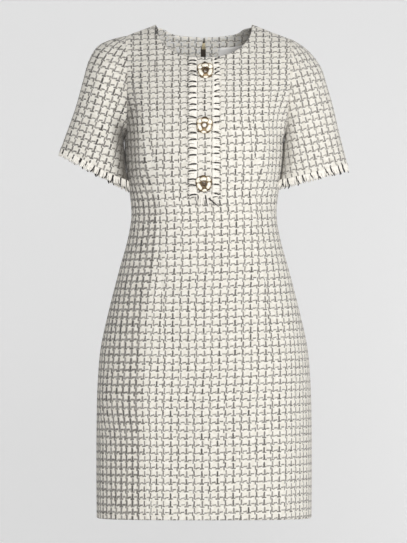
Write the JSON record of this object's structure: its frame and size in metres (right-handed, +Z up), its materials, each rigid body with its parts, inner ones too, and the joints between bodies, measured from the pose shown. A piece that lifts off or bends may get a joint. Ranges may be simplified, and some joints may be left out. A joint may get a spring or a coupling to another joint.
{
  "type": "sheath dress",
  "caption": "Short-sleeved knee-length sheath dress in check tweed, filled out as worn, with a fringed front strip, flower buttons and a back zip.",
  "frame": {"origin": "midway between the two points where the shoulder seams meet the neck edge", "axes": "+Z up along the dress, front of the dress towards -Y, +X on the viewer's right"},
  "size_m": [0.5204, 0.2569, 0.8909],
  "materials": {
    "tweed": "woven check, matt",
    "fringe_yarn": "frayed yarn, cream and near black",
    "satin": "satin lining",
    "gold": "polished gold plating with cream enamel",
    "zip_tape": "woven tape",
    "zip_teeth": "antique bronze"
  },
  "bodies": {
    "dress": {"front_panel": "tweed", "back_left": "tweed", "back_right": "tweed", "sleeve_left": "tweed", "sleeve_right": "tweed", "placket": "tweed", "fringe_placket_left": "fringe_yarn", "fringe_placket_right": "fringe_yarn", "fringe_placket_foot": "fringe_yarn", "fringe_sleeve_left": "fringe_yarn", "fringe_sleeve_right": "fringe_yarn", "button_1": "gold", "button_2": "gold", "button_3": "gold", "facing_left": "tweed", "facing_right": "tweed", "lining_left": "satin", "lining_right": "satin", "zip_tape": "zip_tape", "zip_chain": "zip_teeth", "zip_slider": "gold"},
    "pull": {"zip_pull": "gold"}
  },
  "joints": [
    {"name": "pull_swing", "type": "hinge", "parent": "dress", "child": "pull", "pos_m": [0, 0.07126, -0.03397], "axis": [1, 0, 0], "range_deg": [0, 140]}
  ]
}
